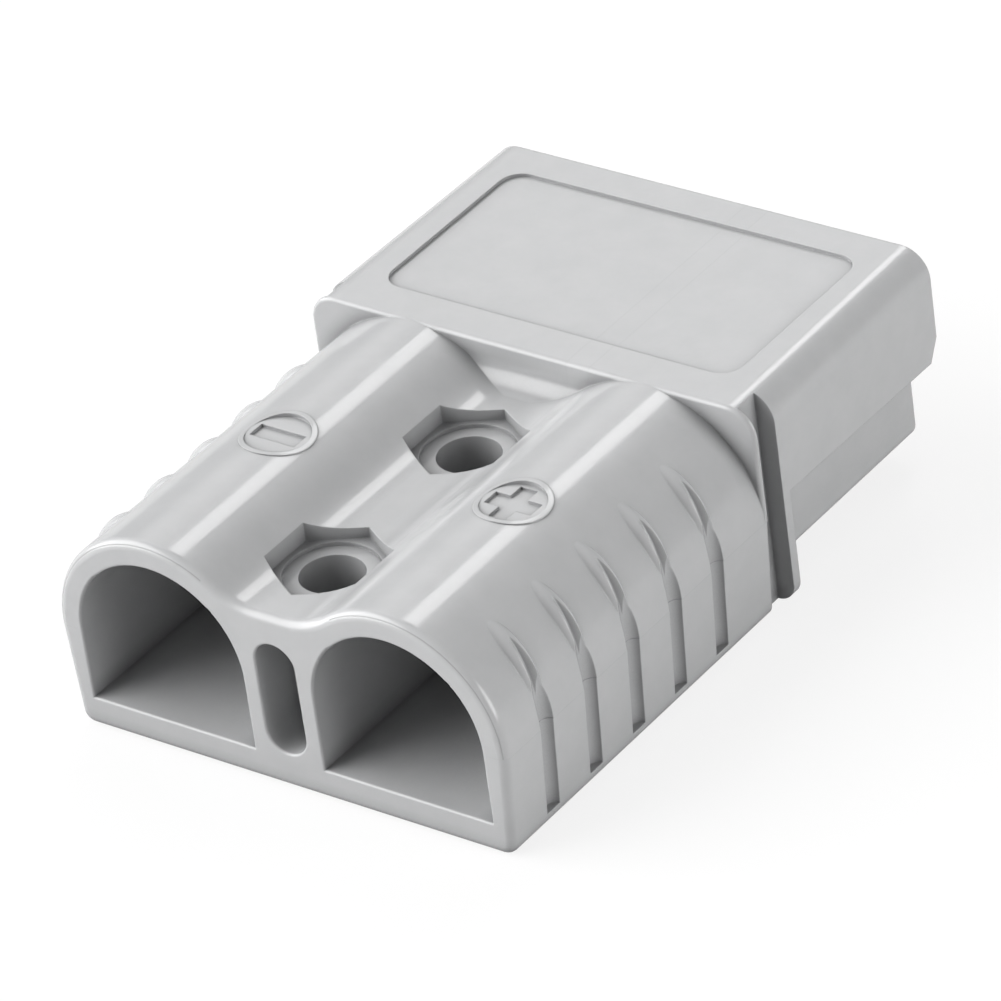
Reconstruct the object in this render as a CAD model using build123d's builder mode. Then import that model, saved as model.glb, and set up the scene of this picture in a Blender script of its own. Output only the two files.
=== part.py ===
from build123d import *
from math import atan2, cos, degrees, radians, sin, sqrt, tan
import os

# Two-pole battery cable plug. X runs across the two poles, Y from the cable end
# to the mating end, Z up from the flat underside. The origin is the middle of
# the underside. Sizes that end in "_at" are measured forward from the cable face.

# Overall form
overall_length = 79.2
overall_height = 25.3
pole_spacing = 29.4  # between the centres of the two poles

# Cable end: two round-topped barrels with a valley between them
entry_width = 20.6
entry_step = 1.15  # how far the floor of an entry lies below the channel for the tongue
barrel_wall = 2.85
crest_step = 0.1  # how far the crests of the barrels lie below the top of the hood
side_draft = 0.75  # how far the sides lean in from the parting line to the base
valley_height = 21.0
valley_floor_width = 3.2  # flat, between the curves up to the barrels
cove_radius = 2.5  # at most, where the valley floor meets the shoulder
base_corner_radius = 1.5
rear_edge_radius = 1.0
entry_edge_radius = 0.25

# Shoulder, panel slots and flange
shoulder_at = 45.7
shoulder_step = 0.1  # how far the shoulder stands out from the barrels
shoulder_edge_radius = 0.45
slot_at = 46.2
slot_width = 3.1
slot_depth = 2.2
flange_thickness = 1.2
flange_base_radius = 2.2

# Hood over the mating end
hood_draft = 0.35  # how much each side leans in towards the mouth
hood_corner_radius = 3.3
hood_wall = 2.5  # top wall
hood_side_wall = 2.65  # at the mouth
hood_inner_radius = 1.5
hood_edge_rise = 0.7  # how far the lower edge of the side walls rises towards the flange
mouth_chamfer_length = 1.45
mouth_chamfer_height = 2.5
mouth_lead_in = 0.5
cavity_at = 49.4  # back wall of the mating cavity

# Label recess in the top of the hood
label_side_margin = 5.4  # from each side of the hood at its mouth
label_front_margin = 4.2  # from the mouth
label_rear_margin = 1.3  # from the panel slots
label_radius = 2.5
label_depth = 0.35

# Nose under the hood, which slides inside the hood of a second plug
mating_gap = 0.25  # between the nose and the other plug's hood
nose_setback = 0.6  # from the mouth of the hood
nose_edge_radius = 1.1
nose_front_wall = 1.8
nose_side_wall = 1.7
nose_floor = 2.05
nose_core_width = 7.4
nose_core_height = 5.2
nose_core_depth = 22.0
nose_core_radius = 1.0

# Bolt holes and nut recesses on the centre line
bolt_hole_diameter = 6.9
first_bolt_at = 10.8
bolt_spacing = 23.7
nut_across_flats = 11.4
nut_floor_depth = 1.2  # below the valley floor
nut_ring_diameter = 10.2
nut_ring_depth = 0.4
bolt_exit_chamfer = 0.5

# Relief slot in the web between the entries
relief_width = 4.9
relief_bottom = 4.3
relief_cover = 3.5  # between its top and the valley floor
relief_depth = 5.5

# Grip grooves down each side
groove_count = 5
first_groove_at = 7.0
groove_pitch = 7.53
groove_radius = 1.15
groove_depth = 0.95
groove_bottom = 1.65
groove_rise = 8.0  # straight up from the parting line, out through the barrel
groove_parting_step = 0.05  # by which the lower half of a groove is narrower
core_rise = 1.2  # from the parting line to where the sharp core of a groove starts
core_arc_radius = 15.0  # path of the core over the barrel
core_arc_angle = 48.0
core_cutter_depth = 2.5
core_flank_angle = 40.0  # from the middle of the core to each flank
core_radius = 0.2
lip_radius = 1.5  # half the width of the raised lips round the top of a groove
lip_height = 0.7  # of their crest over the barrel, before the groove cuts it away
lip_angle = 41.0  # round the barrel, from end to end
lip_tilt = 34.0  # of their middle above the horizontal

# Polarity marks on top of the barrels
mark_at = 22.6
mark_pad_diameter = 8.2
mark_pad_step = 0.1  # how far the pads stand above the crests
mark_pad_arch_radius = 14.0  # across the pole, a little flatter than the barrel
mark_diameter = 7.0
mark_depth = 0.45
sign_length = 5.7
sign_width = 2.1
sign_depth = 0.3

# Contacts: a crimp tube, a flattened neck and a tongue with a hooked tip
tube_diameter = 14.3
tube_bore = 11.2
tube_at = 18.0
tube_length = 22.0
tube_bore_depth = 19.5
tube_lead_in = 0.6
sight_hole_diameter = 2.4
sight_hole_at = 35.5
neck_length = 5.0
tongue_width = 15.9
tongue_thickness = 3.2
tongue_preload = 0.35  # how far the tongue stands above the mating plane unmated
tongue_clearance = 0.35  # at each side of the tongue
window_clearance = 0.7  # over the tongue, for the flare of the neck in the bulkhead
hook_drop = 2.6
hook_length = 3.2
hook_radius = 1.4
tip_clearance = 0.6  # from the hook to the front wall of the nose
seat_clearance = 0.15  # all round the tube in its seat
seat_at = 26.0

# Leaf springs under the tongues
spring_thickness = 0.8
spring_width = 13.0
spring_foot_gap = 2.0  # from the crimp tube to the foot
spring_foot_length = 7.0
spring_tab_width = 17.6
spring_slot_clearance = 0.15
spring_crest_setback = 7.0  # from the hook back to where the spring presses
spring_tail_drop = 1.4
spring_clearance = 0.1  # under the tongue, and behind the hook

tolerance = 0.01  # for picking edges by their place

# Worked out from the sizes above
rear = -overall_length / 2
front = overall_length / 2
pole_x = pole_spacing / 2
poles = {"negative": -pole_x, "positive": pole_x}
mating_plane = overall_height / 2

nose_bottom = hood_wall + mating_gap
nose_top = mating_plane - mating_gap
nose_end_at = overall_length - nose_setback
channel_floor = nose_bottom + nose_floor
channel_width = tongue_width + 2 * tongue_clearance
channel_end_at = nose_end_at - nose_front_wall
nose_half_width = pole_x + channel_width / 2 + nose_side_wall

entry_radius = entry_width / 2
entry_floor = channel_floor - entry_step
barrel_radius = entry_radius + barrel_wall
barrel_top = overall_height - crest_step
barrel_side = pole_x + barrel_radius
base_half_width = barrel_side - side_draft
parting_height = barrel_top - barrel_radius  # where the mould halves meet
pad_top = barrel_top + mark_pad_step
valley_rise = valley_height - parting_height
valley_half_floor = valley_floor_width / 2
cove_limit = overall_height - shoulder_edge_radius - valley_height  # up its wall
cove_reach = min(cove_radius, cove_limit)
nut_floor_height = valley_height - nut_floor_depth
relief_top = valley_height - relief_cover

cavity_half_width = nose_half_width + mating_gap
cavity_top = overall_height - hood_wall
hood_front_half_width = cavity_half_width + hood_side_wall
hood_rear_half_width = hood_front_half_width + hood_draft
shoulder_half_width = max(hood_rear_half_width, barrel_side + shoulder_step)
hood_at = slot_at + slot_width + flange_thickness
label_at = slot_at + slot_width + label_rear_margin
label_end_at = overall_length - label_front_margin

tongue_top = mating_plane + tongue_preload
tongue_bottom = tongue_top - tongue_thickness
window_top = tongue_top + window_clearance
seat_radius = tube_diameter / 2 + seat_clearance
tube_height = channel_floor + seat_radius
tube_end_at = tube_at + tube_length
neck_end_at = tube_end_at + neck_length
hook_end_at = channel_end_at - tip_clearance
hook_at = hook_end_at - hook_length

spring_foot_at = tube_end_at + spring_foot_gap
spring_foot_end_at = spring_foot_at + spring_foot_length
spring_crest_at = hook_at - spring_crest_setback
spring_end_at = hook_at - spring_clearance - spring_thickness / 2


def section(distance):
    """Plane across the plug at a distance from the cable face. It faces the cable
    end, so a positive extrusion runs that way. Its local y is the height."""
    return Plane.XZ.offset(-(rear + distance))


def on_cavity_outline(edge):
    """True for an edge of the mouth that bounds the mating cavity."""
    centre = edge.center()
    return abs(centre.X) < cavity_half_width + tolerance and centre.Z < cavity_top + tolerance


def on_nose_end(edge):
    """True for the side and bottom edges of the front face of the nose."""
    centre = edge.center()
    at_end = abs(centre.Y - rear - nose_end_at) < tolerance
    return at_end and centre.Z < nose_top - tolerance


os.makedirs("parts", exist_ok=True)

# One grip groove on the +X side at Y = 0: up the drafted side, with a sharp core over the barrel
groove_offset = groove_radius - groove_depth
side_lean = side_draft / parting_height
groove_foot_x = base_half_width + groove_bottom * side_lean + groove_offset
groove_path_x = barrel_side + groove_offset
groove_floor_x = barrel_side - groove_depth
core_width = 2 * core_cutter_depth * tan(radians(core_flank_angle))
core_foot_height = parting_height + core_rise
with BuildPart() as groove:
    with BuildSketch(
        Plane((groove_foot_x, 0, groove_bottom), x_dir=(0, 1, 0), z_dir=(side_lean, 0, 1))
    ):
        Circle(groove_radius - groove_parting_step)
    extrude(amount=parting_height - groove_bottom + groove_radius * side_lean)
    with BuildSketch(Plane.XY.offset(parting_height)):
        with Locations((groove_path_x, 0)):
            Circle(groove_radius)
    extrude(amount=groove_rise)
    with BuildSketch(Plane.XY.offset(core_foot_height)) as core_profile:
        Polygon(
            (groove_floor_x, 0),
            (groove_floor_x + core_cutter_depth, -core_width / 2),
            (groove_floor_x + core_cutter_depth, core_width / 2),
            align=None,
        )
        fillet(core_profile.vertices().group_by(Axis.X)[0], core_radius)
    revolve(
        axis=Axis((groove_floor_x - core_arc_radius, 0, core_foot_height), (0, -1, 0)),
        revolution_arc=core_arc_angle,
    )
opposite_groove = mirror(groove.part, about=Plane.YZ)

# Raised lips of that groove: a ring, sunk in the barrel but for the part round the groove
lip_half_chord = barrel_radius * sin(radians(lip_angle / 2))
lip_bulge = barrel_radius * (1 - cos(radians(lip_angle / 2))) + lip_height
lip_crest_radius = (lip_half_chord**2 + lip_bulge**2) / (2 * lip_bulge)
lip_centre = barrel_radius + lip_height - lip_crest_radius
lip_centre_x = pole_x + lip_centre * cos(radians(lip_tilt))
lip_centre_z = parting_height + lip_centre * sin(radians(lip_tilt))
with BuildPart() as lips:
    with BuildSketch(Plane((lip_centre_x, 0, lip_centre_z), x_dir=(1, 0, 0), z_dir=(0, 0, 1))):
        with Locations((lip_crest_radius - lip_radius, 0)):
            Circle(lip_radius)
    revolve(axis=Axis((lip_centre_x, 0, lip_centre_z), (0, -1, 0)))
opposite_lips = mirror(lips.part, about=Plane.YZ)

# Round pad for a polarity mark, arched across the pole
with BuildPart() as mark_pad:
    with BuildSketch(Plane.XY.offset(pad_top)):
        Circle(mark_pad_diameter / 2)
    extrude(amount=-barrel_wall)
    with BuildSketch(Plane.XZ):
        with Locations((0, pad_top - mark_pad_arch_radius)):
            Circle(mark_pad_arch_radius)
    extrude(amount=mark_pad_diameter, both=True, mode=Mode.INTERSECT)

# Housing
with BuildPart() as housing:
    # Hood, leaning in slightly to its mouth
    for distance, half_width in (
        (hood_at, hood_rear_half_width),
        (overall_length, hood_front_half_width),
    ):
        with BuildSketch(section(distance)) as hood_outline:
            Rectangle(2 * half_width, overall_height, align=(Align.CENTER, Align.MIN))
            fillet(hood_outline.vertices().group_by(Axis.Y)[-1], hood_corner_radius)
    loft()

    # Its side walls end near the mating plane, with a chamfer at the mouth
    with BuildSketch(Plane.YZ):
        Polygon(
            (rear + hood_at, 0),
            (rear + hood_at, nose_top + hood_edge_rise),
            (front - mouth_chamfer_length, nose_top),
            (front, nose_top + mouth_chamfer_height),
            (front, 0),
            align=None,
        )
    extrude(amount=shoulder_half_width, both=True, mode=Mode.SUBTRACT)

    # Flange, and the core between the panel slots
    with BuildSketch(section(hood_at)) as flange_outline:
        Rectangle(2 * shoulder_half_width, overall_height, align=(Align.CENTER, Align.MIN))
        fillet(flange_outline.vertices().group_by(Axis.Y)[-1], hood_corner_radius)
        fillet(flange_outline.vertices().group_by(Axis.Y)[0], flange_base_radius)
    extrude(amount=hood_at - slot_at)

    # Shoulder behind the slots, from the parting line up
    with BuildSketch(section(slot_at)) as shoulder_outline:
        with Locations((0, parting_height)):
            Rectangle(
                2 * shoulder_half_width,
                overall_height - parting_height,
                align=(Align.CENTER, Align.MIN),
            )
        fillet(shoulder_outline.vertices().group_by(Axis.Y)[-1], hood_corner_radius)
    extrude(amount=slot_at - shoulder_at)
    fillet(housing.edges().group_by(Axis.Y)[0], shoulder_edge_radius)

    # Mating cavity under the hood, with a lead-in round the mouth
    with BuildSketch(section(overall_length)) as cavity_outline:
        with Locations((0, nose_top)):
            Rectangle(
                2 * cavity_half_width, cavity_top - nose_top, align=(Align.CENTER, Align.MIN)
            )
        fillet(cavity_outline.vertices().group_by(Axis.Y)[-1], hood_inner_radius)
    extrude(amount=overall_length - cavity_at, mode=Mode.SUBTRACT)
    mouth = housing.faces().sort_by(Axis.Y)[-1]
    chamfer(mouth.edges().filter_by(on_cavity_outline), mouth_lead_in)

    # Nose
    with BuildSketch(section(nose_end_at)) as nose_outline:
        with Locations((0, nose_bottom)):
            Rectangle(
                2 * nose_half_width, nose_top - nose_bottom, align=(Align.CENTER, Align.MIN)
            )
        fillet(nose_outline.vertices().group_by(Axis.Y)[0], nose_edge_radius)
    extrude(amount=nose_end_at - hood_at)
    fillet(housing.edges().filter_by(on_nose_end), nose_edge_radius)

    # Cable end. The curves of the valley are tangent to its floor and to the barrels
    valley_reach = pole_x - valley_half_floor
    valley_radius = (valley_reach**2 + valley_rise**2 - barrel_radius**2) / (
        2 * (barrel_radius - valley_rise)
    )
    valley_angle = degrees(atan2(valley_rise + valley_radius, valley_reach))
    with BuildSketch(section(slot_at)) as barrels_outline:
        with BuildLine():
            Polyline(
                (-barrel_side, parting_height),
                (-base_half_width, 0),
                (base_half_width, 0),
                (barrel_side, parting_height),
            )
            CenterArc((pole_x, parting_height), barrel_radius, 0, 180 - valley_angle)
            CenterArc(
                (valley_half_floor, valley_height + valley_radius),
                valley_radius,
                -valley_angle,
                valley_angle - 90,
            )
            Line((valley_half_floor, valley_height), (-valley_half_floor, valley_height))
            CenterArc(
                (-valley_half_floor, valley_height + valley_radius),
                valley_radius,
                -90,
                valley_angle - 90,
            )
            CenterArc(
                (-pole_x, parting_height), barrel_radius, valley_angle, 180 - valley_angle
            )
        make_face()
        fillet(barrels_outline.vertices().group_by(Axis.Y)[0], base_corner_radius)
    extrude(amount=slot_at)
    fillet(housing.edges().group_by(Axis.Y)[0], rear_edge_radius)

    # Cove between the valley floor and the shoulder, as wide as the barrels let it show
    cove_half_width = pole_x - sqrt(barrel_radius**2 - (valley_rise + cove_reach) ** 2)
    cove_start = rear + shoulder_at - cove_reach
    with BuildSketch(Plane.YZ):
        with BuildLine():
            CenterArc((cove_start, valley_height + cove_reach), cove_reach, -90, 90)
            Polyline(
                (rear + shoulder_at, valley_height + cove_reach),
                (rear + slot_at, valley_height + cove_reach),
                (rear + slot_at, nut_floor_height),
                (cove_start, nut_floor_height),
                (cove_start, valley_height),
            )
        make_face()
    extrude(amount=cove_half_width, both=True)

    # Lips round the tops of the grip grooves
    groove_places = [(0, rear + first_groove_at + i * groove_pitch) for i in range(groove_count)]
    with Locations(*groove_places):
        add(lips.part)
        add(opposite_lips)

    # Pads for the polarity marks
    mark_places = [(x, rear + mark_at) for x in poles.values()]
    with Locations(*mark_places):
        add(mark_pad.part)

    # Cable entries, round at the top and flat at the bottom
    with BuildSketch(section(seat_at)):
        for x in poles.values():
            with BuildLine():
                CenterArc((x, parting_height), entry_radius, 0, 180)
                Polyline(
                    (x - entry_radius, parting_height),
                    (x - entry_radius, entry_floor),
                    (x + entry_radius, entry_floor),
                    (x + entry_radius, parting_height),
                )
            make_face()
    extrude(amount=seat_at, mode=Mode.SUBTRACT)

    # Seats for the contact tubes
    with BuildSketch(section(neck_end_at)):
        with Locations(*[(x, tube_height) for x in poles.values()]):
            Circle(seat_radius)
    extrude(amount=neck_end_at - seat_at, mode=Mode.SUBTRACT)

    # Channels for the tongues, through the bulkhead and along the nose
    floor_places = [(x, channel_floor) for x in poles.values()]
    with BuildSketch(section(channel_end_at)):
        with Locations(*floor_places):
            Rectangle(
                channel_width, window_top - channel_floor, align=(Align.CENTER, Align.MIN)
            )
    extrude(amount=channel_end_at - seat_at, mode=Mode.SUBTRACT)

    # Side slots that hold the tabs of the leaf springs
    with BuildSketch(section(spring_foot_end_at + spring_slot_clearance)):
        with Locations(*floor_places):
            Rectangle(
                spring_tab_width + 2 * spring_slot_clearance,
                spring_thickness + spring_slot_clearance,
                align=(Align.CENTER, Align.MIN),
            )
    extrude(amount=spring_foot_length + 2 * spring_slot_clearance, mode=Mode.SUBTRACT)

    # Core in the divider of the nose
    with BuildSketch(section(nose_end_at)):
        with Locations((0, (channel_floor + nose_top) / 2)):
            RectangleRounded(nose_core_width, nose_core_height, nose_core_radius)
    extrude(amount=nose_core_depth, mode=Mode.SUBTRACT)

    # Panel slots in both sides
    with BuildSketch(Plane.XY):
        for side in (-1, 1):
            with Locations((side * shoulder_half_width, rear + slot_at + slot_width / 2)):
                Rectangle(2 * slot_depth, slot_width)
    extrude(amount=overall_height, mode=Mode.SUBTRACT)

    # Label recess
    with BuildSketch(Plane.XY.offset(overall_height)):
        with Locations((0, rear + (label_at + label_end_at) / 2)):
            RectangleRounded(
                2 * (hood_front_half_width - label_side_margin),
                label_end_at - label_at,
                label_radius,
            )
    extrude(amount=-label_depth, mode=Mode.SUBTRACT)

    # Nut recesses with a ring step, and the bolt holes under them
    bolt_places = [(0, rear + first_bolt_at + i * bolt_spacing) for i in range(2)]
    with BuildSketch(Plane.XY.offset(nut_floor_height)):
        with Locations(*bolt_places):
            RegularPolygon(nut_across_flats / 2, 6, major_radius=False, rotation=30)
    extrude(amount=overall_height - nut_floor_height, mode=Mode.SUBTRACT)
    with BuildSketch(Plane.XY.offset(nut_floor_height)):
        with Locations(*bolt_places):
            Circle(nut_ring_diameter / 2)
    extrude(amount=-nut_ring_depth, mode=Mode.SUBTRACT)
    with BuildSketch(Plane.XY.offset(nut_floor_height)):
        with Locations(*bolt_places):
            Circle(bolt_hole_diameter / 2)
    extrude(amount=-nut_floor_height, mode=Mode.SUBTRACT)
    chamfer(
        housing.edges().filter_by(GeomType.CIRCLE).group_by(Axis.Z)[0], bolt_exit_chamfer
    )

    # Relief slot in the web between the entries
    with BuildSketch(section(relief_depth)):
        with Locations((0, (relief_bottom + relief_top) / 2)):
            SlotOverall(relief_top - relief_bottom, relief_width, rotation=90)
    extrude(amount=relief_depth, mode=Mode.SUBTRACT)

    # Small rounds at the mouths of the entries and the relief slot
    rear_face = housing.faces().sort_by(Axis.Y)[0]
    for mouth_outline in rear_face.inner_wires():
        fillet(mouth_outline.edges(), entry_edge_radius)

    # Polarity marks: a round recess in each pad, with the sign sunk in its floor
    with BuildSketch(Plane.XY.offset(pad_top)):
        with Locations(*mark_places):
            Circle(mark_diameter / 2)
    extrude(amount=-mark_depth, mode=Mode.SUBTRACT)
    with BuildSketch(Plane.XY.offset(pad_top - mark_depth)):
        with Locations(*mark_places):
            Rectangle(sign_length, sign_width)
        with Locations((poles["positive"], rear + mark_at)):
            Rectangle(sign_width, sign_length)
    extrude(amount=-sign_depth, mode=Mode.SUBTRACT)

    # Grip grooves
    with Locations(*groove_places):
        add(groove.part, mode=Mode.SUBTRACT)
        add(opposite_groove, mode=Mode.SUBTRACT)
housing.part.label = "housing"
export_step(housing.part, "parts/housing.step")

for pole, x in poles.items():
    # Contact
    with BuildPart() as contact:
        with BuildSketch(section(tube_end_at)):
            with Locations((x, tube_height)):
                Circle(tube_diameter / 2)
        extrude(amount=tube_length)
        with BuildSketch(section(tube_end_at)):
            with Locations((x, tube_height)):
                Circle(tube_diameter / 2)
        with BuildSketch(section(neck_end_at)):
            with Locations((x, tongue_bottom)):
                Rectangle(tongue_width, tongue_thickness, align=(Align.CENTER, Align.MIN))
        loft()
        with BuildSketch(Plane.YZ.offset(x)) as tongue_side:
            Polygon(
                (rear + neck_end_at, tongue_bottom),
                (rear + hook_at, tongue_bottom),
                (rear + hook_at, tongue_bottom - hook_drop),
                (rear + hook_end_at, tongue_bottom - hook_drop),
                (rear + hook_end_at, tongue_top),
                (rear + neck_end_at, tongue_top),
                align=None,
            )
            tip = tongue_side.vertices().sort_by(Axis.X)[-2:].sort_by(Axis.Y)[-1]
            fillet(tip, hook_radius)
        extrude(amount=tongue_width / 2, both=True)
        with BuildSketch(section(tube_at + tube_bore_depth)):
            with Locations((x, tube_height)):
                Circle(tube_bore / 2)
        extrude(amount=tube_bore_depth, mode=Mode.SUBTRACT)
        tube_mouth = contact.faces().sort_by(Axis.Y)[0]
        chamfer(tube_mouth.inner_wires()[0].edges(), tube_lead_in)
        with BuildSketch(Plane.XY.offset(tube_height)):
            with Locations((x, rear + sight_hole_at)):
                Circle(sight_hole_diameter / 2)
        extrude(amount=tube_diameter, mode=Mode.SUBTRACT)
    contact.part.label = f"contact_{pole}"
    export_step(contact.part, f"parts/contact_{pole}.step")

    # Leaf spring: a flat foot with tabs, a rise to the tongue and a tail behind the hook
    foot_height = channel_floor + spring_thickness / 2
    crest_height = tongue_bottom - spring_clearance - spring_thickness / 2
    foot_end = (rear + spring_foot_end_at, foot_height)
    crest = (rear + spring_crest_at, crest_height)
    tail = (rear + spring_end_at, crest_height - spring_tail_drop)
    with BuildPart() as spring:
        with BuildSketch(Plane.YZ.offset(x)):
            with BuildLine():
                Line((rear + spring_foot_at, foot_height), foot_end)
                Spline(foot_end, crest, tangents=((1, 0), (1, 0)))
                Spline(crest, tail, tangents=((1, 0), (1, -1)))
            trace(line_width=spring_thickness)
        extrude(amount=spring_width / 2, both=True)
        with BuildSketch(Plane.XY.offset(channel_floor)):
            with Locations((x, rear + (spring_foot_at + spring_foot_end_at) / 2)):
                Rectangle(spring_tab_width, spring_foot_length)
        extrude(amount=spring_thickness)
    spring.part.label = f"spring_{pole}"
    export_step(spring.part, f"parts/spring_{pole}.step")
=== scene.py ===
from math import cos, pi, radians, sin

import bpy
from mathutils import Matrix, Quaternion, Vector

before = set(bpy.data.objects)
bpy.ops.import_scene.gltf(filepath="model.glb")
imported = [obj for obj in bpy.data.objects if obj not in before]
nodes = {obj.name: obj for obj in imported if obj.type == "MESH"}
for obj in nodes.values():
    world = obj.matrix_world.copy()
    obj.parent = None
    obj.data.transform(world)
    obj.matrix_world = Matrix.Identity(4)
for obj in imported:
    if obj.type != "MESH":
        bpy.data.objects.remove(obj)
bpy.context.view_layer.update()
scene = bpy.context.scene
mm = 0.001
print("plug loaded:", ", ".join(sorted(nodes)))

# The camera, as the photograph was taken
cameraSetup = {
    "target": (0.55 * mm, -1.89 * mm, 12.0 * mm),
    "distance": 0.75386,
    "azimuth": 39.737,
    "elevation": 32.973,
    "roll": -8.227,
    "lens": 264.36,
}


def directionOf(azimuth, elevation):  # 0 is +Y, 90 is -X
    level = cos(radians(elevation))
    return Vector(
        (-sin(radians(azimuth)) * level, cos(radians(azimuth)) * level, sin(radians(elevation)))
    )


def placeCamera(setup):
    looking = directionOf(setup["azimuth"], -setup["elevation"])
    turn = looking.to_track_quat("-Z", "Y") @ Quaternion((0, 0, 1), radians(setup["roll"]))
    lens = bpy.data.cameras.new("camera")
    lens.lens = setup["lens"]
    lens.sensor_width = 36.0
    lens.clip_start = 0.01
    camera = bpy.data.objects.new("camera", lens)
    camera.rotation_mode = "QUATERNION"
    camera.rotation_quaternion = turn
    camera.location = Vector(setup["target"]) - looking * setup["distance"]
    scene.collection.objects.link(camera)
    scene.camera = camera


placeCamera(cameraSetup)
print("camera placed")


# Small helpers for the shader trees
def feed(tree, source, target):  # a socket is linked, a plain value is set
    if isinstance(source, bpy.types.NodeSocket):
        tree.links.new(source, target)
    else:
        target.default_value = source


def calculate(tree, operation, *terms):
    node = tree.nodes.new("ShaderNodeMath")
    node.operation = operation
    for socket, term in zip(node.inputs, terms):
        feed(tree, term, socket)
    return node.outputs[0]


def remap(tree, value, low, high, newLow, newHigh, smooth=False):
    node = tree.nodes.new("ShaderNodeMapRange")
    if smooth:
        node.interpolation_type = "SMOOTHSTEP"
    for label, term in (
        ("Value", value),
        ("From Min", low),
        ("From Max", high),
        ("To Min", newLow),
        ("To Max", newHigh),
    ):
        feed(tree, term, node.inputs[label])
    return node.outputs["Result"]


def millimetres(tree, stretch=(1.0, 1.0, 1.0)):  # the place on the piece, in millimetres
    place = tree.nodes.new("ShaderNodeTexCoord")
    scaled = tree.nodes.new("ShaderNodeMapping")
    scaled.inputs["Scale"].default_value = [1000.0 * s for s in stretch]
    tree.links.new(place.outputs["Object"], scaled.inputs["Vector"])
    return scaled.outputs["Vector"]


def noise(tree, place, size, detail=2.0, roughness=0.5):  # size is that of its blotches
    node = tree.nodes.new("ShaderNodeTexNoise")
    tree.links.new(place, node.inputs["Vector"])
    feed(tree, calculate(tree, "DIVIDE", 1.0, size), node.inputs["Scale"])
    node.inputs["Detail"].default_value = detail
    node.inputs["Roughness"].default_value = roughness
    return node.outputs["Fac"]


def mixColours(tree, share, first, second):
    node = tree.nodes.new("ShaderNodeMix")  # its colour sockets are 6, 7 and 2
    node.data_type = "RGBA"
    feed(tree, share, node.inputs[0])
    feed(tree, first, node.inputs[6])
    feed(tree, second, node.inputs[7])
    return node.outputs[2]


def newGroup(name, inputs, outputs):
    group = bpy.data.node_groups.new(name, "ShaderNodeTree")
    for label, value in inputs.items():
        kind = "NodeSocketVector" if isinstance(value, tuple) else "NodeSocketFloat"
        socket = group.interface.new_socket(label, in_out="INPUT", socket_type=kind)
        socket.default_value = value
    for label, kind in outputs.items():
        group.interface.new_socket(label, in_out="OUTPUT", socket_type=kind)
    start = group.nodes.new("NodeGroupInput")
    end = group.nodes.new("NodeGroupOutput")
    return group, start.outputs, end.inputs


def useGroup(tree, group, values):
    node = tree.nodes.new("ShaderNodeGroup")
    node.node_tree = group
    for label, value in values.items():
        feed(tree, value, node.inputs[label])
    return node.outputs


def newMaterial(name):
    material = bpy.data.materials.new(name)
    material.use_nodes = True
    tree = material.node_tree
    return material, tree, tree.nodes["Principled BSDF"].inputs


def dress(piece, material):
    nodes[piece].data.materials.clear()
    nodes[piece].data.materials.append(material)


def bump(tree, height, normal, target):  # height is in millimetres
    node = tree.nodes.new("ShaderNodeBump")
    node.inputs["Distance"].default_value = mm
    tree.links.new(height, node.inputs["Height"])
    tree.links.new(normal, node.inputs["Normal"])
    tree.links.new(node.outputs["Normal"], target)


surfaceSamples = 4  # rays for the round of an edge and for the shade of a hollow


# Edges: a small round where faces meet, and a mask of where they are rubbed, which on the housing
# also lightens the edges as a painted highlight
def buildEdgeGroup():
    group, given, result = newGroup(
        "edgeWearAndHighlight",
        {"Round": 0.25, "Patch Size": 3.0},
        {"Normal": "NodeSocketVector", "Wear And Highlight": "NodeSocketFloat"},
    )
    edge = group.nodes.new("ShaderNodeBevel")
    edge.samples = surfaceSamples
    feed(group, calculate(group, "MULTIPLY", given["Round"], mm), edge.inputs["Radius"])
    surface = group.nodes.new("ShaderNodeNewGeometry")
    across = group.nodes.new("ShaderNodeVectorMath")
    across.operation = "DOT_PRODUCT"
    group.links.new(edge.outputs["Normal"], across.inputs[0])
    group.links.new(surface.outputs["Normal"], across.inputs[1])
    bent = remap(group, across.outputs["Value"], 0.995, 0.9, 0.0, 1.0)  # cosines
    patchField = noise(group, millimetres(group), given["Patch Size"], detail=3.0)
    patches = remap(group, patchField, 0.35, 0.65, 0.2, 1.0)  # never quite unrubbed
    group.links.new(edge.outputs["Normal"], result["Normal"])
    feed(group, calculate(group, "MULTIPLY", bent, patches), result["Wear And Highlight"])
    return group


# Skin of a moulding: fine orange peel, slow waves where it sank, and blotches of gloss
def buildSkinGroup():
    group, given, result = newGroup(
        "mouldSkin",
        {
            "Peel Size": 0.35,
            "Peel Depth": 0.001,
            "Wave Size": 9.0,
            "Wave Depth": 0.01,
            "Blotch Size": 4.0,
        },
        {"Height": "NodeSocketFloat", "Blotch": "NodeSocketFloat"},
    )
    place = millimetres(group)
    peel = noise(group, place, given["Peel Size"], detail=1.5)
    waves = noise(group, place, given["Wave Size"], detail=1.0)
    peelHeight = calculate(group, "MULTIPLY", peel, given["Peel Depth"])
    waveHeight = calculate(group, "MULTIPLY", waves, given["Wave Depth"])
    feed(group, calculate(group, "ADD", peelHeight, waveHeight), result["Height"])
    blotches = noise(group, place, given["Blotch Size"], detail=5.0, roughness=0.62)
    feed(group, blotches, result["Blotch"])
    return group


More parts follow.
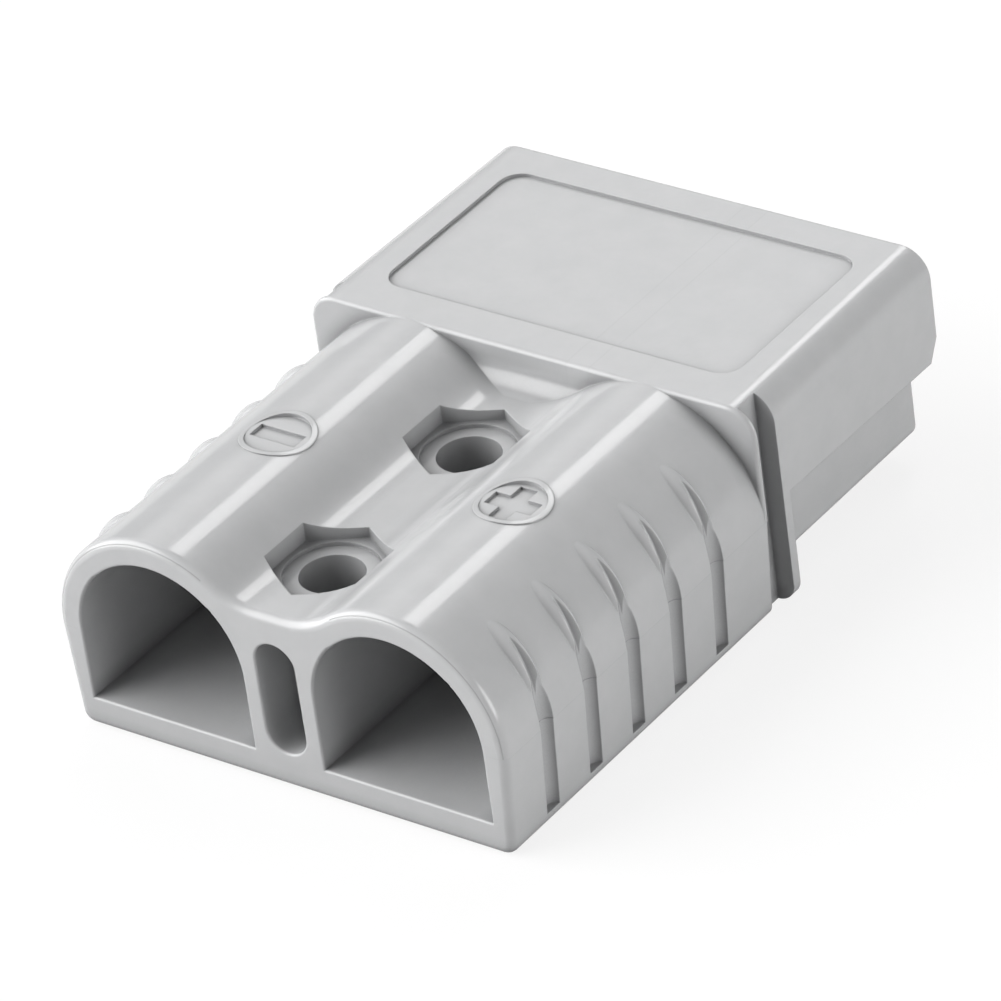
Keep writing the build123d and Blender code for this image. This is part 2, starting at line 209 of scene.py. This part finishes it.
# Grain of drawn or rolled metal, along Y, with soft tarnish
def buildMetalGroup():
    group, given, result = newGroup(
        "metalGrain",
        {"Grain Size": 0.06, "Grain Depth": 0.0008, "Tarnish Size": 3.5},
        {
            "Height": "NodeSocketFloat",
            "Grain": "NodeSocketFloat",
            "Tarnish": "NodeSocketFloat",
        },
    )
    drawn = millimetres(group, (1.0, 0.04, 1.0))  # stretched along Y
    grain = noise(group, drawn, given["Grain Size"], detail=3.0)
    place = millimetres(group)
    tarnish = noise(group, place, given["Tarnish Size"], detail=5.0, roughness=0.6)
    feed(group, calculate(group, "MULTIPLY", grain, given["Grain Depth"]), result["Height"])
    feed(group, grain, result["Grain"])
    feed(group, remap(group, tarnish, 0.4, 0.72, 0.0, 1.0, smooth=True), result["Tarnish"])
    return group


# Hairline scratches, in two crossing directions
def buildScratchGroup():
    group, given, result = newGroup(
        "hairScratches",
        {"Spacing": 1.6, "Width": 0.02, "Patch Size": 7.0},
        {"Scratch": "NodeSocketFloat"},
    )
    masks = []
    runs = ((0.45, (1.0, 0.05, 1.0)), (-0.9, (0.06, 1.0, 0.8)))  # a turn about Z, a stretch
    for turn, along in runs:
        place = group.nodes.new("ShaderNodeVectorRotate")
        place.rotation_type = "Z_AXIS"
        place.inputs["Angle"].default_value = turn
        group.links.new(millimetres(group), place.inputs["Vector"])
        stretched = group.nodes.new("ShaderNodeMapping")
        stretched.inputs["Scale"].default_value = along
        group.links.new(place.outputs["Vector"], stretched.inputs["Vector"])
        field = noise(group, stretched.outputs["Vector"], given["Spacing"], detail=2.0)
        fromLine = calculate(group, "ABSOLUTE", calculate(group, "SUBTRACT", field, 0.5))
        masks.append(remap(group, fromLine, 0.0, given["Width"], 1.0, 0.0))
    either = calculate(group, "MAXIMUM", *masks)
    patchField = noise(group, millimetres(group), given["Patch Size"])
    patches = remap(group, patchField, 0.52, 0.66, 0.0, 1.0)
    feed(group, calculate(group, "MULTIPLY", either, patches), result["Scratch"])
    return group


# Painted shade in deep places: the colour darkens where ambient occlusion finds the surroundings
# closed
def buildPaintedShadeGroup():
    group, given, result = newGroup(
        "cavityShade", {"Reach": 12.0, "Open": 0.6, "Amount": 1.0}, {"Shade": "NodeSocketFloat"}
    )
    around = group.nodes.new("ShaderNodeAmbientOcclusion")
    around.samples = surfaceSamples
    feed(group, calculate(group, "MULTIPLY", given["Reach"], mm), around.inputs["Distance"])
    closed = remap(group, around.outputs["AO"], 0.0, given["Open"], 1.0, 0.0)
    feed(group, calculate(group, "MULTIPLY", closed, given["Amount"]), result["Shade"])
    return group


# Fine line that the mould left, by the distance from it in millimetres
def buildLineGroup():
    group, given, result = newGroup(
        "mouldLine",
        {"Offset": 1.0, "Width": 0.06, "Depth": 0.02, "Within": 1.0},
        {"Height": "NodeSocketFloat"},
    )
    away = calculate(group, "ABSOLUTE", given["Offset"])
    mask = remap(group, away, 0.0, given["Width"], 1.0, 0.0, smooth=True)
    shown = calculate(group, "MULTIPLY", mask, given["Within"])
    feed(group, calculate(group, "MULTIPLY", shown, given["Depth"]), result["Height"])
    return group


# Soft glow of the surroundings, about one direction
def buildGlowGroup():
    group, given, result = newGroup(
        "softGlow",
        {
            "Ray": (0.0, 0.0, 1.0),
            "Toward": (0.0, 0.0, 1.0),
            "Inner": 0.9,
            "Outer": 0.7,
            "Glow": 1.0,
        },
        {"Light": "NodeSocketFloat"},
    )
    facing = group.nodes.new("ShaderNodeVectorMath")
    facing.operation = "DOT_PRODUCT"
    group.links.new(given["Ray"], facing.inputs[0])
    group.links.new(given["Toward"], facing.inputs[1])
    cosine = facing.outputs["Value"]
    shape = remap(group, cosine, given["Outer"], given["Inner"], 0.0, 1.0, smooth=True)
    feed(group, calculate(group, "MULTIPLY", shape, given["Glow"]), result["Light"])
    return group


edgeGroup = buildEdgeGroup()
skinGroup = buildSkinGroup()
metalGroup = buildMetalGroup()
scratchGroup = buildScratchGroup()
cavityGroup = buildPaintedShadeGroup()
lineGroup = buildLineGroup()
glowGroup = buildGlowGroup()
print("node groups built")

# Moulded grey plastic of the housing
housingLook = {
    "colour": (0.490, 0.494, 0.500, 1.0),
    "paleBlotch": (0.515, 0.518, 0.524, 1.0),
    # edge colour: partly rubbed wear, partly a painted highlight along the edges
    "rubbedAndHighlitEdge": (0.600, 0.602, 0.608, 1.0),
    # colour of the painted shade in hollows and corners
    "cavity": (0.250, 0.252, 0.256, 1.0),
    # colour of the painted shade in sunk mould lines
    "lineShadeColour": (0.330, 0.330, 0.334, 1.0),
    "roughness": (0.08, 0.16),
    "blotchRange": (0.35, 0.7),
    "glossRange": (0.3, 0.7),
    "ior": 1.5,
    "edgeRound": 0.22,  # mm
    "peelSize": 0.36,
    "peelDepth": 0.0026,
    "waveSize": 9.0,
    "waveDepth": 0.012,
    "scratches": {"Spacing": 2.2, "Width": 0.012},
    "scratchDepth": 0.0012,
    "scratchRoughness": 0.12,
    # painted shade: its reach, where it starts and its strength, in deep hollows and in fine
    # corners
    "hollowPaintedShade": {"Reach": 20.0, "Open": 0.8, "Amount": 0.62},
    "cornerPaintedShade": {"Reach": 2.2, "Open": 0.95, "Amount": 2.2},
    "partingHeight": 12.05,  # mm above the underside
    "partingFrom": 25.5,  # mm from the middle, where the outer sides start
    "poleOffset": 14.7,
    "rimRadius": 12.7,  # of the insert's line on the rear rim
    "rimFrom": 8.0,
    "rimBehind": -38.2,
    "valleyLines": (5.0, 7.8),
    "valleyFrom": -36.0,
    "valleyAbove": 4.0,  # over the parting line
    "partingLine": (0.08, 0.016),  # half width and height, mm
    "rimLine": (0.09, -0.03),
    "valleyLine": (0.10, -0.006),
    "lineShade": 25.0,  # painted shade in a sunk line: how dark it is, for each mm of depth
}


def mouldLines(tree, look):  # parting line, rear rim and valley: heights, and the mask of painted shade in sunk lines
    place = tree.nodes.new("ShaderNodeSeparateXYZ")
    tree.links.new(millimetres(tree), place.inputs[0])
    x, y, z = place.outputs
    aside = calculate(tree, "ABSOLUTE", x)
    above = calculate(tree, "SUBTRACT", z, look["partingHeight"])
    outside = calculate(tree, "GREATER_THAN", aside, look["partingFrom"])
    fromPole = calculate(tree, "SUBTRACT", aside, look["poleOffset"])
    acrossSquared = calculate(tree, "MULTIPLY", fromPole, fromPole)
    aboveSquared = calculate(tree, "MULTIPLY", above, above)
    fromAxis = calculate(tree, "SQRT", calculate(tree, "ADD", acrossSquared, aboveSquared))
    fromRim = calculate(tree, "SUBTRACT", fromAxis, look["rimRadius"])
    offWeb = calculate(tree, "GREATER_THAN", aside, look["rimFrom"])
    upperHalf = calculate(tree, "GREATER_THAN", above, 0.0)
    atRear = calculate(tree, "LESS_THAN", y, look["rimBehind"])
    onRim = calculate(tree, "MULTIPLY", atRear, calculate(tree, "MULTIPLY", offWeb, upperHalf))
    pastRim = remap(tree, y, look["rimBehind"], look["valleyFrom"], 0.0, 1.0)
    high = calculate(tree, "GREATER_THAN", above, look["valleyAbove"])
    onTop = calculate(tree, "MULTIPLY", pastRim, high)
    lines = [(above, *look["partingLine"], outside), (fromRim, *look["rimLine"], onRim)]
    for distance in look["valleyLines"]:
        lines.append((calculate(tree, "SUBTRACT", x, distance), *look["valleyLine"], onTop))
    height, mask = 0.0, 0.0
    for offset, width, depth, within in lines:
        line = useGroup(
            tree,
            lineGroup,
            {"Offset": offset, "Width": width, "Depth": depth, "Within": within},
        )
        height = calculate(tree, "ADD", line["Height"], height)
        # painted shade: a sunk line is darkened by its depth
        dark = calculate(tree, "MULTIPLY", line["Height"], -look["lineShade"])
        mask = calculate(tree, "MAXIMUM", dark, mask)
    return height, mask


def finishHousing(look):
    material, tree, shader = newMaterial("mouldedGrey")
    edges = useGroup(tree, edgeGroup, {"Round": look["edgeRound"]})
    skin = useGroup(
        tree,
        skinGroup,
        {
            "Peel Size": look["peelSize"],
            "Peel Depth": look["peelDepth"],
            "Wave Size": look["waveSize"],
            "Wave Depth": look["waveDepth"],
        },
    )
    scratches = useGroup(tree, scratchGroup, look["scratches"])["Scratch"]
    # painted shade: the colour is darkened in hollows and corners
    hollowPaintedShade = useGroup(tree, cavityGroup, look["hollowPaintedShade"])["Shade"]
    cornerPaintedShade = useGroup(tree, cavityGroup, look["cornerPaintedShade"])["Shade"]
    paintedShadeMask = calculate(tree, "MAXIMUM", hollowPaintedShade, cornerPaintedShade)
    lineHeight, lineShadeMask = mouldLines(tree, look)
    cut = calculate(tree, "MULTIPLY", scratches, -look["scratchDepth"])
    height = calculate(tree, "ADD", skin["Height"], calculate(tree, "ADD", lineHeight, cut))
    blotches = remap(tree, skin["Blotch"], *look["blotchRange"], 0.0, 1.0)
    body = mixColours(tree, blotches, look["colour"], look["paleBlotch"])
    # the edges are lightened: partly rubbed wear, partly a painted highlight
    rubbedAndHighlit = mixColours(tree, edges["Wear And Highlight"], body, look["rubbedAndHighlitEdge"])
    shaded = mixColours(tree, paintedShadeMask, rubbedAndHighlit, look["cavity"])
    # painted shade in the sunk mould lines
    feed(tree, mixColours(tree, lineShadeMask, shaded, look["lineShadeColour"]), shader["Base Color"])
    gloss = remap(tree, skin["Blotch"], *look["glossRange"], *look["roughness"])
    dull = calculate(tree, "MULTIPLY", scratches, look["scratchRoughness"])
    feed(tree, calculate(tree, "ADD", gloss, dull), shader["Roughness"])
    shader["IOR"].default_value = look["ior"]
    bump(tree, height, edges["Normal"], shader["Normal"])
    dress("housing", material)


# Silver plate of the contacts
contactLook = {
    "colour": (0.88, 0.87, 0.85, 1.0),
    "tarnished": (0.78, 0.76, 0.71, 1.0),
    "roughness": (0.26, 0.40),
    "edgeRound": 0.2,  # mm
    "rubbedPatch": 1.5,
    "grainRange": (0.3, 0.7),
    "grainSize": 0.05,
    "grainDepth": 0.0006,
}

# Rolled stainless strip of the leaf springs
springLook = {
    "colour": (0.60, 0.60, 0.59, 1.0),
    "tarnished": (0.50, 0.49, 0.46, 1.0),
    "roughness": (0.22, 0.40),
    "edgeRound": 0.12,  # mm
    "rubbedPatch": 1.5,
    "grainRange": (0.3, 0.7),
    "grainSize": 0.035,
    "grainDepth": 0.001,
}


def finishMetal(name, look, pieces):
    material, tree, shader = newMaterial(name)
    edges = useGroup(
        tree, edgeGroup, {"Round": look["edgeRound"], "Patch Size": look["rubbedPatch"]}
    )
    metal = useGroup(
        tree,
        metalGroup,
        {"Grain Size": look["grainSize"], "Grain Depth": look["grainDepth"]},
    )
    dulled = calculate(
        tree, "MULTIPLY", metal["Tarnish"], calculate(tree, "SUBTRACT", 1.0, edges["Wear And Highlight"])
    )
    feed(tree, mixColours(tree, dulled, look["colour"], look["tarnished"]), shader["Base Color"])
    streaks = remap(tree, metal["Grain"], *look["grainRange"], *look["roughness"])
    feed(tree, streaks, shader["Roughness"])
    shader["Metallic"].default_value = 1.0
    bump(tree, metal["Height"], edges["Normal"], shader["Normal"])
    for piece in pieces:
        dress(piece, material)


finishHousing(housingLook)
finishMetal("silverPlate", contactLook, ["contact_negative", "contact_positive"])
finishMetal("springSteel", springLook, ["spring_negative", "spring_positive"])
print("materials made")

# Studio: a pale floor, soft glows around it and one strip softbox
floorSetup = {
    "size": 6.0,  # metres
    "roughness": 0.9,
    "colour": (0.50, 0.50, 0.50, 1.0),
    "seenColour": (0.18, 0.18, 0.18, 1.0),  # to the camera and to reflections
    "seenGlow": 0.82,  # to the camera, so that the floor comes out white
    "mirroredGlow": 0.45,  # to reflections
}
worldSetup = {"dim": 0.16, "backdrop": 1.0}  # to the object, and to the camera
glows = {  # all in degrees but the glow, and it fades from the inner to the outer angle
    "window": {"azimuth": 122.0, "elevation": 22.0, "inner": 20.0, "outer": 44.0, "glow": 5.4},
    "side": {"azimuth": -82.0, "elevation": 8.0, "inner": 8.0, "outer": 30.0, "glow": 6.1},
    "behind": {"azimuth": 34.0, "elevation": 43.0, "inner": 8.0, "outer": 30.0, "glow": 1.25},
}
softboxes = {
    "strip": {
        "azimuth": 21.8,
        "elevation": 45.6,
        "distance": 1.6,
        "glow": 4.3,
        "size": (0.28, 0.70),
    },
}


def layFloor(setup):
    half = setup["size"] / 2
    mesh = bpy.data.meshes.new("floor")
    mesh.from_pydata(
        [(-half, -half, 0), (half, -half, 0), (half, half, 0), (-half, half, 0)],
        [],
        [(0, 1, 2, 3)],
    )
    floor = bpy.data.objects.new("floor", mesh)
    scene.collection.objects.link(floor)
    material, tree, shader = newMaterial("paleFloor")
    shader["Roughness"].default_value = setup["roughness"]
    shader["Specular IOR Level"].default_value = 0.0
    shader["Emission Color"].default_value = (1.0, 1.0, 1.0, 1.0)
    rays = tree.nodes.new("ShaderNodeLightPath").outputs
    mirrored = calculate(tree, "MAXIMUM", rays["Is Glossy Ray"], rays["Is Transmission Ray"])
    seen = calculate(tree, "MAXIMUM", rays["Is Camera Ray"], mirrored)
    shown = calculate(tree, "MULTIPLY", rays["Is Camera Ray"], setup["seenGlow"])
    reflected = calculate(tree, "MULTIPLY", mirrored, setup["mirroredGlow"])
    feed(tree, mixColours(tree, seen, setup["colour"], setup["seenColour"]), shader["Base Color"])
    feed(tree, calculate(tree, "MAXIMUM", reflected, shown), shader["Emission Strength"])
    mesh.materials.append(material)


def lightWorld(setup):
    world = bpy.data.worlds.new("studio")
    world.use_nodes = True
    scene.world = world
    tree = world.node_tree
    background = tree.nodes["Background"].inputs
    ray = tree.nodes.new("ShaderNodeTexCoord").outputs["Generated"]
    light = setup["dim"]
    for glow in glows.values():
        lit = useGroup(
            tree,
            glowGroup,
            {
                "Ray": ray,
                "Toward": directionOf(glow["azimuth"], glow["elevation"]),
                "Inner": cos(radians(glow["inner"])),
                "Outer": cos(radians(glow["outer"])),
                "Glow": glow["glow"],
            },
        )
        light = calculate(tree, "ADD", lit["Light"], light)
    toCamera = tree.nodes.new("ShaderNodeLightPath").outputs["Is Camera Ray"]
    plain = calculate(tree, "SUBTRACT", 1.0, toCamera)
    shown = calculate(tree, "MULTIPLY", toCamera, setup["backdrop"])
    strength = calculate(tree, "ADD", calculate(tree, "MULTIPLY", light, plain), shown)
    feed(tree, strength, background["Strength"])
    background["Color"].default_value = (1.0, 1.0, 1.0, 1.0)


def hangSoftbox(name, setup):
    lamp = bpy.data.lights.new(name, "AREA")
    lamp.shape = "RECTANGLE"
    lamp.size, lamp.size_y = setup["size"]
    lamp.energy = setup["glow"] * pi * lamp.size * lamp.size_y  # watts that give the glow
    direction = directionOf(setup["azimuth"], setup["elevation"])
    box = bpy.data.objects.new(name, lamp)
    box.rotation_mode = "QUATERNION"
    box.rotation_quaternion = direction.to_track_quat("Z", "Y")
    box.location = direction * setup["distance"]
    scene.collection.objects.link(box)


layFloor(floorSetup)
lightWorld(worldSetup)
for name, setup in softboxes.items():
    hangSoftbox(name, setup)
scene.view_settings.view_transform = "Standard"
print("studio lit")
